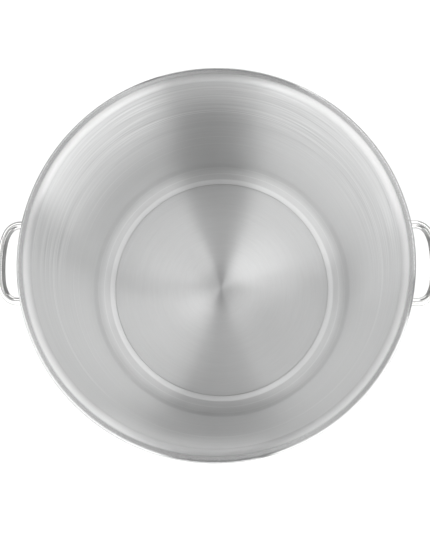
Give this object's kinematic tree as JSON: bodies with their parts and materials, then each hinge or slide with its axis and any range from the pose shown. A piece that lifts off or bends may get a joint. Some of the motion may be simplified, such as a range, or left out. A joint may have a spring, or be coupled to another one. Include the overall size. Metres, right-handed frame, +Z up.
{
  "type": "brew kettle",
  "caption": "Open cylindrical stainless brew kettle with a rolled rim, rounded inside corner, clad flat base and two welded rod loop handles.",
  "frame": {"origin": "centre of the face the kettle stands on", "axes": "+Z up through the open mouth, +X and -X through the two handles, +Y to the back"},
  "size_m": [0.5044, 0.429, 0.3353],
  "materials": {
    "satin_stainless": "satin drawn sheet with fine turned lines round the wall and floor",
    "base_stainless": "satin, turned lines round the centre, lightly scuffed where it stands",
    "aluminium_core": "bare rolled disc, sealed inside the base",
    "polished_stainless": "bright polished rod",
    "pad_stainless": "satin plate with spot-weld dimples",
    "weld_metal": "brushed weld bead with a faint heat tint"
  },
  "bodies": {
    "root": {"kettle_shell": "satin_stainless", "base_core": "aluminium_core", "base_cap": "base_stainless", "right_handle": "polished_stainless", "right_rear_handle_pad": "pad_stainless", "right_rear_handle_weld": "weld_metal", "right_front_handle_pad": "pad_stainless", "right_front_handle_weld": "weld_metal", "left_handle": "polished_stainless", "left_rear_handle_pad": "pad_stainless", "left_rear_handle_weld": "weld_metal", "left_front_handle_pad": "pad_stainless", "left_front_handle_weld": "weld_metal"}
  },
  "joints": []
}
